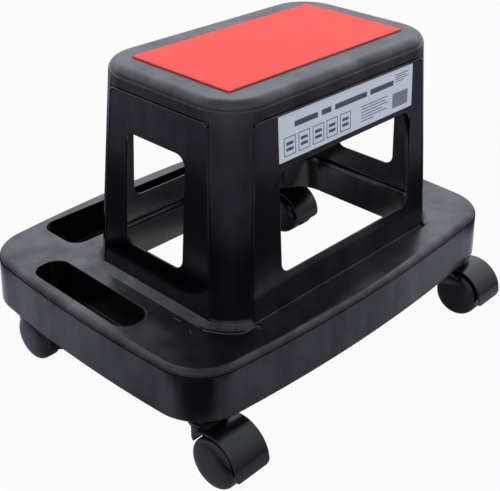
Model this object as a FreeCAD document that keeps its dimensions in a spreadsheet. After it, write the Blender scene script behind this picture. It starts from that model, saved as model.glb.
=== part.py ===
import FreeCAD, Part
import math
import os
import Sketcher

os.makedirs("parts", exist_ok=True)
doc = FreeCAD.newDocument("rolling_mechanic_seat")
V = FreeCAD.Vector

# Driving sizes in millimetres, one named cell each
sheet = doc.addObject("Spreadsheet::Sheet", "Sizes")
sheet.Label = "Sizes"
SIZES = [
    ("base_half_long", 228.0),
    ("base_half_wide", 171.0),
    ("base_corner", 51.0),
    ("long_side_radius", 1660.0),
    ("short_side_radius", 1430.0),
    ("skirt_draft", 2.5),
    ("skirt_bottom", 66.5),
    ("deck_top", 117.5),
    ("deck_edge", 7.0),
    ("moulding_wall", 3.0),
    ("stool_offset_y", -30.0),
    ("seat_top", 320.0),
    ("seat_half_long", 143.5),
    ("seat_half_wide", 89.0),
    ("seat_corner", 44.0),
    ("seat_rim", 10.0),
    ("stool_taper", 0.067),
    ("stool_wall", 4.5),
    ("collar_bottom", 94.0),
    ("collar_wall", 3.2),
    ("ledge_height", 128.5),
    ("ledge_step", 4.0),
    ("ledge_round", 10.0),
    ("foot_flare", 9.0),
    ("panel_recess", 2.5),
    ("panel_margin", 0.8),
    ("rim_high", 17.5),
    ("panel_ledge_run", 9.5),
    ("panel_ledge_rise", 3.5),
    ("flare_keep", 0.6),
    ("window_corner", 11.0),
    ("long_window_half", 93.8),
    ("long_window_drop", 51.3),
    ("short_window_half", 38.3),
    ("short_window_drop", 38.6),
    ("near_window_shift", 5.9),
    ("near_window_bottom", 151.0),
    ("far_window_shift", -2.1),
    ("far_window_bottom", 162.0),
    ("left_window_shift", 2.3),
    ("left_window_bottom", 155.7),
    ("right_window_shift", -2.6),
    ("right_window_bottom", 159.3),
    ("end_tray_inset", 32.5),
    ("end_tray_half_wide", 17.5),
    ("end_tray_y", 15.0),
    ("end_tray_half_long", 70.0),
    ("side_tray_inset", 49.5),
    ("side_tray_half_wide", 29.0),
    ("side_tray_half_long", 154.0),
    ("tray_corner", 15.0),
    ("tray_floor", 81.0),
    ("tray_wall", 2.5),
    ("stem_inset_x", 41.0),
    ("stem_inset_y", 39.0),
    ("boss_radius", 12.5),
    ("boss_bottom", 64.5),
    ("socket_depth", 38.0),
    ("mat_long", 233.5),
    ("mat_wide", 120.5),
    ("mat_thick", 1.4),
    ("label_long", 188.0),
    ("label_high", 41.5),
    ("label_thick", 0.3),
    ("label_x", 6.0),
    ("label_drop", 4.3),
    ("wheel_radius", 25.0),
    ("wheel_shoulder", 4.0),
    ("wheel_dome", 6.5),
    ("wheel_tread", 13.5),
    ("wheel_side_gap", 0.6),
    ("wheel_rim_wall", 4.0),
    ("wheel_hub_radius", 8.0),
    ("wheel_hollow", 8.0),
    ("axle_radius", 3.0),
    ("axle_half", 14.0),
    ("running_gap", 0.08),
    ("trail", 26.0),
    ("hood_radius", 31.1),
    ("hood_wall", 1.8),
    ("hood_half_wide", 20.0),
    ("hood_lip_drop", 3.5),
    ("hood_rear_angle", 42.0),
    ("lip_corner", 5.0),
    ("web_half", 3.6),
    ("axle_boss_radius", 7.5),
    ("turret_radius", 17.5),
    ("turret_bottom", 50.0),
    ("turret_top", 62.0),
    ("neck_radius", 14.2),
    ("neck_bottom", 30.0),
    ("turret_groove_low", 54.5),
    ("turret_groove_high", 58.0),
    ("turret_groove_deep", 2.0),
    ("stem_radius", 5.5),
    ("stem_bottom", 42.0),
    ("stem_top_gap", 1.0),
    ("ring_low", 90.0),
    ("ring_high", 95.0),
    ("ring_deep", 0.9),
    ("seat_gap", 0.02),
]
for row, (name, value) in enumerate(SIZES, start=1):
    sheet.set("A%d" % row, name)
    sheet.set("B%d" % row, str(value))
    sheet.setAlias("B%d" % row, name)
doc.recompute()
SIZE = dict(SIZES)

# The whole object is set back so that its plan box is centred on the origin
SHIFT_Y = "(Sizes.trail + Sizes.hood_radius - Sizes.stem_inset_y) / 2"

# Casters and trays keep their distance from the edges of the base
STEM_X = "(Sizes.base_half_long - Sizes.stem_inset_x)"
STEM_Y = "(Sizes.base_half_wide - Sizes.stem_inset_y)"
END_TRAY_X = "(Sizes.end_tray_inset - Sizes.base_half_long)"
SIDE_TRAY_Y = "(Sizes.base_half_wide - Sizes.side_tray_inset)"

# Panels, windows and label hang from the rim of the seat
PANEL_TOP = "(Sizes.seat_top - Sizes.rim_high)"


def now(expression):
    """Present value of a sheet expression."""
    text = expression.replace("Sizes.", "")
    text = text.replace(" ", "")
    return SizeReader(text).total()


class SizeReader:
    """Reads sums, products and brackets of named sizes."""

    def __init__(self, text):
        self.text = text
        self.at = 0

    def peek(self):
        return self.text[self.at] if self.at < len(self.text) else ""

    def total(self):
        value = self.product()
        while self.peek() in ("+", "-") and self.peek():
            sign = self.peek()
            self.at += 1
            step = self.product()
            value = value + step if sign == "+" else value - step
        return value

    def product(self):
        value = self.single()
        while self.peek() in ("*", "/") and self.peek():
            sign = self.peek()
            self.at += 1
            step = self.single()
            value = value * step if sign == "*" else value / step
        return value

    def single(self):
        if self.peek() == "-":
            self.at += 1
            return -self.single()
        if self.peek() == "(":
            self.at += 1
            value = self.total()
            self.at += 1
            return value
        start = self.at
        while self.peek() and (self.peek().isalnum() or self.peek() in "_."):
            self.at += 1
        word = self.text[start:self.at]
        if word == "sqrt" or word == "cos" or word == "sin":
            value = self.single()
            if word == "sqrt":
                return math.sqrt(value)
            angle = math.radians(value)
            return math.cos(angle) if word == "cos" else math.sin(angle)
        return SIZE[word] if word in SIZE else float(word)


def new_body(label):
    body = doc.addObject("PartDesign::Body", label)
    body.Label = label
    return body


def new_sketch(body, name, role, offset=None):
    """Empty sketch on one of the body's own origin planes, set off along its normal."""
    sketch = body.newObject("Sketcher::SketchObject", name)
    plane = [f for f in body.Origin.OriginFeatures if f.Role == role][0]
    sketch.AttachmentSupport = [(plane, "")]
    sketch.MapMode = "FlatFace"
    if offset is not None:
        sketch.setExpression("AttachmentOffset.Base.z", offset)
    return sketch


def bind(sketch, constraint, expression):
    index = sketch.addConstraint(constraint)
    sketch.setExpression("Constraints[%d]" % index, expression)
    return index


def hold_x(sketch, geometry, point, expression):
    value = now(expression)
    bind(sketch, Sketcher.Constraint("DistanceX", -1, 1, geometry, point, value), expression)


def hold_y(sketch, geometry, point, expression):
    value = now(expression)
    bind(sketch, Sketcher.Constraint("DistanceY", -1, 1, geometry, point, value), expression)


def circle(sketch, x, y, radius):
    """Circle held by its centre and radius."""
    middle = V(now(x), now(y), 0)
    ring = sketch.addGeometry(Part.Circle(middle, V(0, 0, 1), now(radius)), False)
    if x == "0" and y == "0":
        sketch.addConstraint(Sketcher.Constraint("Coincident", ring, 3, -1, 1))
    else:
        hold_x(sketch, ring, 3, x)
        hold_y(sketch, ring, 3, y)
    bind(sketch, Sketcher.Constraint("Radius", ring, now(radius)), radius)
    return ring


def polygon(sketch, corners):
    """Closed outline of straight edges, each corner held by two sheet expressions."""
    points = [V(now(x), now(y), 0) for x, y in corners]
    count = len(points)
    edges = []
    for i in range(count):
        line = Part.LineSegment(points[i], points[(i + 1) % count])
        edges.append(sketch.addGeometry(line, False))
    for i in range(count):
        after = edges[(i + 1) % count]
        sketch.addConstraint(Sketcher.Constraint("Coincident", edges[i], 2, after, 1))
    for i, (x, y) in enumerate(corners):
        if x == "0":
            sketch.addConstraint(Sketcher.Constraint("PointOnObject", edges[i], 1, -2))
        else:
            hold_x(sketch, edges[i], 1, x)
        if y == "0":
            sketch.addConstraint(Sketcher.Constraint("PointOnObject", edges[i], 1, -1))
        else:
            hold_y(sketch, edges[i], 1, y)
    return edges


def round_box(sketch, x, y, half_x, half_y, radius):
    """Rectangle with rounded corners about a centre."""
    left = "%s - (%s)" % (x, half_x)
    right = "%s + %s" % (x, half_x)
    low = "%s - (%s)" % (y, half_y)
    high = "%s + %s" % (y, half_y)
    a, b, c, d = now(left), now(right), now(low), now(high)
    r = now(radius)
    lines = [
        Part.LineSegment(V(a + r, c, 0), V(b - r, c, 0)),
        Part.LineSegment(V(b, c + r, 0), V(b, d - r, 0)),
        Part.LineSegment(V(b - r, d, 0), V(a + r, d, 0)),
        Part.LineSegment(V(a, d - r, 0), V(a, c + r, 0)),
    ]
    middles = [V(b - r, c + r, 0), V(b - r, d - r, 0), V(a + r, d - r, 0), V(a + r, c + r, 0)]
    starts = [-90, 0, 90, 180]
    line_ids = []
    arc_ids = []
    for i in range(4):
        line_ids.append(sketch.addGeometry(lines[i], False))
        ring = Part.Circle(middles[i], V(0, 0, 1), r)
        first = math.radians(starts[i])
        arc = Part.ArcOfCircle(ring, first, first + math.pi / 2)
        arc_ids.append(sketch.addGeometry(arc, False))
    for i in range(4):
        after = line_ids[(i + 1) % 4]
        sketch.addConstraint(Sketcher.Constraint("Tangent", line_ids[i], 2, arc_ids[i], 1))
        sketch.addConstraint(Sketcher.Constraint("Tangent", arc_ids[i], 2, after, 1))
    sketch.addConstraint(Sketcher.Constraint("Horizontal", line_ids[0]))
    sketch.addConstraint(Sketcher.Constraint("Horizontal", line_ids[2]))
    sketch.addConstraint(Sketcher.Constraint("Vertical", line_ids[1]))
    sketch.addConstraint(Sketcher.Constraint("Vertical", line_ids[3]))
    for i in range(1, 4):
        sketch.addConstraint(Sketcher.Constraint("Equal", arc_ids[0], arc_ids[i]))
    bind(sketch, Sketcher.Constraint("Radius", arc_ids[0], r), radius)
    hold_y(sketch, line_ids[0], 1, low)
    hold_x(sketch, line_ids[1], 1, right)
    hold_y(sketch, line_ids[2], 1, high)
    hold_x(sketch, line_ids[3], 1, left)


def bowed_box(sketch, inset):
    """Plan outline of the base: four gently bowed sides joined by corner arcs."""
    half_x = "Sizes.base_half_long - (%s)" % inset
    half_y = "Sizes.base_half_wide - (%s)" % inset
    bow_x = "Sizes.short_side_radius - (%s)" % inset
    bow_y = "Sizes.long_side_radius - (%s)" % inset
    corner = "Sizes.base_corner - (%s)" % inset
    a, b, rx, ry, rc = now(half_x), now(half_y), now(bow_x), now(bow_y), now(corner)
    x, y = a - rc, b - rc
    for _ in range(60):
        y = b - ry + math.sqrt((ry - rc) ** 2 - x * x)
        x = a - rx + math.sqrt((rx - rc) ** 2 - y * y)
    lean_y = math.atan2(x, y - (b - ry))
    lean_x = math.atan2(y, x - (a - rx))
    quarter = math.pi / 2
    parts = [
        (V(a - rx, 0, 0), rx, -lean_x, lean_x),
        (V(x, y, 0), rc, lean_x, quarter - lean_y),
        (V(0, b - ry, 0), ry, quarter - lean_y, quarter + lean_y),
        (V(-x, y, 0), rc, quarter + lean_y, 2 * quarter - lean_x),
        (V(rx - a, 0, 0), rx, 2 * quarter - lean_x, 2 * quarter + lean_x),
        (V(-x, -y, 0), rc, 2 * quarter + lean_x, 3 * quarter - lean_y),
        (V(0, ry - b, 0), ry, 3 * quarter - lean_y, 3 * quarter + lean_y),
        (V(x, -y, 0), rc, 3 * quarter + lean_y, 4 * quarter - lean_x),
    ]
    ids = []
    for middle, radius, first, last in parts:
        ring = Part.Circle(middle, V(0, 0, 1), radius)
        ids.append(sketch.addGeometry(Part.ArcOfCircle(ring, first, last), False))
    for i in range(8):
        after = ids[(i + 1) % 8]
        sketch.addConstraint(Sketcher.Constraint("Tangent", ids[i], 2, after, 1))
    for i in (0, 4):
        sketch.addConstraint(Sketcher.Constraint("PointOnObject", ids[i], 3, -1))
        bind(sketch, Sketcher.Constraint("Radius", ids[i], rx), bow_x)
    for i in (2, 6):
        sketch.addConstraint(Sketcher.Constraint("PointOnObject", ids[i], 3, -2))
        bind(sketch, Sketcher.Constraint("Radius", ids[i], ry), bow_y)
    for i in (1, 3, 5, 7):
        bind(sketch, Sketcher.Constraint("Radius", ids[i], rc), corner)
    hold_x(sketch, ids[0], 3, "%s - (%s)" % (half_x, bow_x))
    hold_x(sketch, ids[4], 3, "%s - (%s)" % (bow_x, half_x))
    hold_y(sketch, ids[2], 3, "%s - (%s)" % (half_y, bow_y))
    hold_y(sketch, ids[6], 3, "%s - (%s)" % (bow_y, half_y))


def sound(feature):
    """The feature, once its shape is known to be usable."""
    doc.recompute()
    if "Invalid" in feature.State or feature.Shape.isNull() or not feature.Shape.isValid():
        raise RuntimeError("%s failed: %s" % (feature.Name, feature.State))
    return feature


def pad(body, name, sketch, length, both=False, reverse=False):
    feature = body.newObject("PartDesign::Pad", name)
    feature.Profile = sketch
    feature.setExpression("Length", length)
    feature.Midplane = both
    feature.Reversed = reverse
    return sound(feature)


def pocket(body, name, sketch, length, both=False, reverse=False):
    before = body.Tip.Shape.Volume
    feature = body.newObject("PartDesign::Pocket", name)
    feature.Profile = sketch
    feature.setExpression("Length", length)
    feature.Midplane = both
    feature.Reversed = reverse
    sound(feature)
    if feature.Shape.Volume > before - 0.01:
        raise RuntimeError(name + " cut nothing")
    return feature


def place(obj, x, y, z):
    obj.setExpression("Placement.Base.x", x)
    obj.setExpression("Placement.Base.y", "%s + %s" % (y, SHIFT_Y))
    obj.setExpression("Placement.Base.z", z)


# Body moulding: base tray, stool and seat in one piece, open underneath
def level_half(half, z):
    """Half size of the stool's outside at a height."""
    return "%s + Sizes.stool_taper * (Sizes.seat_top - (%s))" % (half, z)


def level_edges(shape, z, half_x, half_y, middle_y):
    """Names of the level edges at a height inside a plan box."""
    found = []
    for number, edge in enumerate(shape.Edges, start=1):
        box = edge.BoundBox
        level = abs(box.ZMin - z) < 0.01 and abs(box.ZMax - z) < 0.01
        near_x = max(abs(box.XMin), abs(box.XMax)) < half_x
        near_y = max(abs(box.YMin - middle_y), abs(box.YMax - middle_y)) < half_y
        if level and near_x and near_y:
            found.append("Edge%d" % number)
    return found


def fillet(body, name, edges, radius):
    before = body.Tip
    feature = body.newObject("PartDesign::Fillet", name)
    feature.Base = (before, edges)
    feature.setExpression("Radius", radius)
    return sound(feature)


def lean_in(body, name, angle):
    """Draft on every upright face, narrowing upwards from the lowest face."""
    before = body.Tip
    upright = []
    lowest = None
    for number, face in enumerate(before.Shape.Faces, start=1):
        box = face.BoundBox
        if box.ZLength > 0.01:
            upright.append("Face%d" % number)
        elif abs(box.ZMin - before.Shape.BoundBox.ZMin) < 0.01:
            lowest = "Face%d" % number
    feature = body.newObject("PartDesign::Draft", name)
    feature.Base = (before, upright)
    feature.NeutralPlane = (before, [lowest])
    feature.setExpression("Angle", angle)
    sound(feature)
    if feature.Shape.Volume > before.Shape.Volume:
        feature.Reversed = True
        sound(feature)
    return feature


wide = 2 * SIZE["base_half_long"]
skirt_lean = "atan(Sizes.skirt_draft / (Sizes.deck_top - Sizes.skirt_bottom))"
stool_lean = "atan(Sizes.stool_taper)"
tray = new_body("tray_outside")
low = new_sketch(tray, "skirt_foot_outline", "XY_Plane", "Sizes.skirt_bottom")
bowed_box(low, "0")
pad(tray, "tray_block", low, "Sizes.deck_top - Sizes.skirt_bottom")
lean_in(tray, "skirt_lean", skirt_lean)
fillet(tray, "deck_edge_round",
       level_edges(tray.Tip.Shape, SIZE["deck_top"], wide, wide, 0), "Sizes.deck_edge")
hollow = new_body("tray_inside")
low = new_sketch(hollow, "skirt_inside_outline", "XY_Plane", "Sizes.skirt_bottom")
bowed_box(low, "Sizes.moulding_wall")
pad(hollow, "tray_hollow", low,
    "Sizes.deck_top - Sizes.moulding_wall - Sizes.skirt_bottom")
lean_in(hollow, "hollow_lean", skirt_lean)
tray_shell = doc.addObject("Part::Cut", "tray_shell")
tray_shell.Base = tray
tray_shell.Tool = hollow
doc.recompute()

# Stool walls stand on the deck and lean in towards the seat
def leaning_block(body, name, half_x, half_y, low, high, corner):
    """Block about the middle of the stool with leaning walls and round corners."""
    base = new_sketch(body, name + "_outline", "XY_Plane", low)
    front = "Sizes.stool_offset_y - (%s)" % half_y
    rear = "Sizes.stool_offset_y + %s" % half_y
    polygon(base, [("-(%s)" % half_x, front), (half_x, front),
                   (half_x, rear), ("-(%s)" % half_x, rear)])
    pad(body, name + "_block", base, "%s - (%s)" % (high, low))
    lean_in(body, name + "_lean", stool_lean)
    shape = body.Tip.Shape
    corners = []
    for number, edge in enumerate(shape.Edges, start=1):
        if edge.BoundBox.ZLength > shape.BoundBox.ZLength / 2:
            corners.append("Edge%d" % number)
    fillet(body, name + "_corners", corners, corner)


deck_under = "(Sizes.deck_top - Sizes.moulding_wall)"
stool = new_body("stool_outside")
leaning_block(stool, "stool", level_half("Sizes.seat_half_long", deck_under),
              level_half("Sizes.seat_half_wide", deck_under),
              deck_under, "Sizes.seat_top", "Sizes.seat_corner")
stool_y = SIZE["stool_offset_y"]
fillet(stool, "seat_rim_round",
       level_edges(stool.Tip.Shape, SIZE["seat_top"], wide, wide, stool_y), "Sizes.seat_rim")

# Collar hanging under the deck, set in from the stool walls by a coved ledge
cove = "sqrt(Sizes.ledge_step * (2 * Sizes.ledge_round - Sizes.ledge_step))"
well_low = "Sizes.ledge_height - Sizes.ledge_round + " + cove


def well_half(half, set_in):
    """Half size of the space inside the stool at its foot, less a set-in."""
    return level_half(half, well_low) + " - Sizes.stool_wall - (%s)" % set_in


collar_out = "Sizes.ledge_step - Sizes.collar_wall"
collar = new_sketch(stool, "collar_outline", "XY_Plane", "Sizes.collar_bottom")
round_box(collar, "0", "Sizes.stool_offset_y",
          well_half("Sizes.seat_half_long", collar_out),
          well_half("Sizes.seat_half_wide", collar_out),
          "Sizes.seat_corner - Sizes.stool_wall - (%s)" % collar_out)
pad(stool, "collar_block", collar, "Sizes.ledge_height - Sizes.collar_bottom")
joined = doc.addObject("Part::Fuse", "tray_and_stool")
joined.Base = tray_shell
joined.Tool = stool
doc.recompute()

# Space under the seat, open at the bottom of the collar
well = new_body("seat_well")
leaning_block(well, "well", well_half("Sizes.seat_half_long", "0"),
              well_half("Sizes.seat_half_wide", "0"), well_low,
              "Sizes.seat_top - Sizes.stool_wall", "Sizes.seat_corner - Sizes.stool_wall")
fillet(well, "ledge_cove",
       level_edges(well.Tip.Shape, now(well_low), wide, wide, stool_y), "Sizes.ledge_round")
low = new_sketch(well, "collar_inside", "XY_Plane", "Sizes.collar_bottom")
round_box(low, "0", "Sizes.stool_offset_y",
          well_half("Sizes.seat_half_long", "Sizes.ledge_step"),
          well_half("Sizes.seat_half_wide", "Sizes.ledge_step"),
          "Sizes.seat_corner - Sizes.stool_wall - Sizes.ledge_step")
pad(well, "collar_hollow", low,
    "Sizes.ledge_height + Sizes.ledge_round - Sizes.collar_bottom")

shell = new_body("body_moulding")
shell.BaseFeature = joined
doc.recompute()
spread = SIZE["stool_taper"] * (SIZE["seat_top"] - SIZE["deck_top"]) + 1.0
fillet(shell, "foot_flare_round",
       level_edges(shell.Tip.Shape, SIZE["deck_top"], SIZE["seat_half_long"] + spread,
                   SIZE["seat_half_wide"] + spread, stool_y), "Sizes.foot_flare")
emptied = shell.newObject("PartDesign::Boolean", "seat_well_cut")
emptied.Type = "Cut"
emptied.setObjects([well])
sound(emptied)

# Shallow panel recess on each of the four faces, following the slope of the wall
def slope_face(half, z, side, centre):
    sign = "" if side > 0 else "-"
    inner = "%s%s(%s - Sizes.panel_recess)" % (
        centre, "+" if side > 0 else "-", level_half(half, z))
    return inner if centre != "0" else "%s(%s - Sizes.panel_recess)" % (
        sign if sign else "1 * ", level_half(half, z))


def panel_half(half):
    """Half width that takes a panel past where it runs out on the round corners."""
    reach = "sqrt(Sizes.panel_recess * (2 * Sizes.seat_corner - Sizes.panel_recess))"
    return "%s - Sizes.seat_corner + %s + Sizes.panel_margin" % (
        level_half(half, "Sizes.deck_top"), reach)


def slope_out(half, side, centre):
    far = level_half(half, "Sizes.skirt_bottom") + " + Sizes.foot_flare"
    head = centre if centre != "0" else "0"
    return "%s %s (%s)" % (head, "+" if side > 0 else "-", far)


def beside_wall(z, side):
    """Place just outside a long wall at a height."""
    return "Sizes.stool_offset_y %s (%s + Sizes.flare_keep)" % (
        "+" if side > 0 else "-", level_half("Sizes.seat_half_wide", z))


for side in (-1, 1):
    end = "near" if side < 0 else "far"
    trim = new_sketch(shell, "flare_trim_" + end, "YZ_Plane")
    flare_top = "Sizes.deck_top + 2 * Sizes.foot_flare"
    far_out = slope_out("Sizes.seat_half_wide", side, "Sizes.stool_offset_y")
    polygon(trim, [
        (beside_wall("Sizes.deck_top", side), "Sizes.deck_top"),
        (beside_wall(flare_top, side), flare_top),
        (far_out, flare_top),
        (far_out, "Sizes.deck_top"),
    ])
    trim_long = level_half("Sizes.seat_half_long", "Sizes.deck_top") + " + 2 * Sizes.foot_flare"
    pocket(shell, "flare_trim_cut_" + end, trim, "2 * (%s)" % trim_long, both=True)
for side in (-1, 1):
    end = "near" if side < 0 else "far"
    cut = new_sketch(shell, "long_panel_" + end, "YZ_Plane")
    half = "Sizes.seat_half_wide"
    centre = "Sizes.stool_offset_y"
    polygon(cut, [
        (slope_face(half, "Sizes.deck_top", side, centre), "Sizes.deck_top"),
        (slope_face(half, PANEL_TOP, side, centre), PANEL_TOP),
        (slope_out(half, side, centre), PANEL_TOP),
        (slope_out(half, side, centre), "Sizes.deck_top"),
    ])
    width = "2 * (%s)" % panel_half("Sizes.seat_half_long")
    pocket(shell, "long_recess_" + end, cut, width, both=True)
for side in (-1, 1):
    end = "left" if side < 0 else "right"
    cut = new_sketch(shell, "short_panel_" + end, "XZ_Plane", "-Sizes.stool_offset_y")
    half = "Sizes.seat_half_long"
    start = "Sizes.deck_top + Sizes.panel_ledge_rise"
    toe = "%d * (%s - Sizes.panel_recess + Sizes.panel_ledge_run)" % (
        side, level_half(half, start))
    polygon(cut, [
        (slope_face(half, start, side, "0"), start),
        (slope_face(half, PANEL_TOP, side, "0"), PANEL_TOP),
        (slope_out(half, side, "0"), PANEL_TOP),
        (slope_out(half, side, "0"), "Sizes.deck_top"),
        (toe, "Sizes.deck_top"),
    ])
    width = "2 * (%s)" % panel_half("Sizes.seat_half_wide")
    pocket(shell, "short_recess_" + end, cut, width, both=True)

# Large windows, one through each side
for end in ("near", "far", "left", "right"):
    long_side = end in ("near", "far")
    kind = "long" if long_side else "short"
    top = "(%s - Sizes.%s_window_drop)" % (PANEL_TOP, kind)
    bottom = "Sizes.%s_window_bottom" % end
    shift = "Sizes.%s_window_shift" % end
    plane = "XZ_Plane" if long_side else "YZ_Plane"
    offset = "-Sizes.stool_offset_y" if long_side else "0"
    across = shift if long_side else "Sizes.stool_offset_y + " + shift
    hole = new_sketch(shell, end + "_window", plane, offset)
    round_box(hole, across, "(%s + %s) / 2" % (bottom, top), "Sizes.%s_window_half" % kind,
              "(%s - %s) / 2" % (top, bottom), "Sizes.window_corner")
    depth = "2 * Sizes.seat_half_wide" if long_side else "2 * Sizes.seat_half_long"
    pocket(shell, end + "_window_cut", hole, depth, reverse=end in ("near", "right"))

# Two open trays let into the deck
tray_low = "Sizes.tray_floor - Sizes.tray_wall"
tub = new_sketch(shell, "end_tray_outside", "XY_Plane", tray_low)
round_box(tub, END_TRAY_X, "Sizes.end_tray_y",
          "Sizes.end_tray_half_wide + Sizes.tray_wall",
          "Sizes.end_tray_half_long + Sizes.tray_wall",
          "Sizes.tray_corner + Sizes.tray_wall")
tub_high = "Sizes.deck_top - Sizes.moulding_wall / 2 - (%s)" % tray_low
pad(shell, "end_tray_tub", tub, tub_high)
tub = new_sketch(shell, "side_tray_outside", "XY_Plane", tray_low)
round_box(tub, "0", SIDE_TRAY_Y, "Sizes.side_tray_half_long + Sizes.tray_wall",
          "Sizes.side_tray_half_wide + Sizes.tray_wall",
          "Sizes.tray_corner + Sizes.tray_wall")
pad(shell, "side_tray_tub", tub, tub_high)
slot = new_sketch(shell, "end_tray_inside", "XY_Plane", "Sizes.tray_floor")
round_box(slot, END_TRAY_X, "Sizes.end_tray_y", "Sizes.end_tray_half_wide",
          "Sizes.end_tray_half_long", "Sizes.tray_corner")
slot_high = "Sizes.deck_top - Sizes.tray_floor + 1"
pocket(shell, "end_tray_slot", slot, slot_high, reverse=True)
slot = new_sketch(shell, "side_tray_inside", "XY_Plane", "Sizes.tray_floor")
round_box(slot, "0", SIDE_TRAY_Y, "Sizes.side_tray_half_long",
          "Sizes.side_tray_half_wide", "Sizes.tray_corner")
pocket(shell, "side_tray_slot", slot, slot_high, reverse=True)

# Four bosses under the deck with the sockets for the caster stems
CORNERS = [
    ("front_left", -1, -1),
    ("front_right", 1, -1),
    ("rear_left", -1, 1),
    ("rear_right", 1, 1),
]
boss = new_sketch(shell, "boss_rings", "XY_Plane", "Sizes.boss_bottom")
for _, sx, sy in CORNERS:
    circle(boss, "%d * %s" % (sx, STEM_X), "%d * %s" % (sy, STEM_Y), "Sizes.boss_radius")
pad(shell, "caster_bosses", boss,
    "Sizes.deck_top - Sizes.moulding_wall / 2 - Sizes.boss_bottom")
bore = new_sketch(shell, "socket_rings", "XY_Plane", "Sizes.boss_bottom")
for _, sx, sy in CORNERS:
    circle(bore, "%d * %s" % (sx, STEM_X), "%d * %s" % (sy, STEM_Y),
           "Sizes.stem_radius + Sizes.running_gap")
pocket(shell, "stem_sockets", bore, "Sizes.socket_depth", reverse=True)
place(shell, "0", "0", "0")

# Thin red mat lying on the seat
mat = doc.addObject("Part::Box", "seat_mat")
mat.Label = "seat_mat"
mat.setExpression("Length", "Sizes.mat_long")
mat.setExpression("Width", "Sizes.mat_wide")
mat.setExpression("Height", "Sizes.mat_thick")
place(mat, "-Sizes.mat_long / 2", "Sizes.stool_offset_y - Sizes.mat_wide / 2",
      "Sizes.seat_top")

# Printed label lying on the near long panel, leaning with it
label = doc.addObject("Part::Box", "side_label")
label.Label = "side_label"
label.setExpression("Length", "Sizes.label_long")
label.setExpression("Width", "Sizes.label_thick")
label.setExpression("Height", "Sizes.label_high")
label.setExpression("Placement.Rotation.Angle", "-atan(Sizes.stool_taper)")
label.setExpression("Placement.Rotation.Axis.x", "1")
label.setExpression("Placement.Rotation.Axis.y", "0")
label.setExpression("Placement.Rotation.Axis.z", "0")
lean = "atan(Sizes.stool_taper)"
label_foot_z = "%s - Sizes.label_drop - Sizes.label_high * cos(%s)" % (PANEL_TOP, lean)
label_foot_y = ("Sizes.stool_offset_y - (Sizes.seat_half_wide - Sizes.panel_recess"
                " + Sizes.stool_taper * (Sizes.seat_top - (%s)))"
                " - Sizes.label_thick / cos(%s)" % (label_foot_z, lean))
place(label, "Sizes.label_x - Sizes.label_long / 2", label_foot_y, label_foot_z)
doc.recompute()

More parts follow.
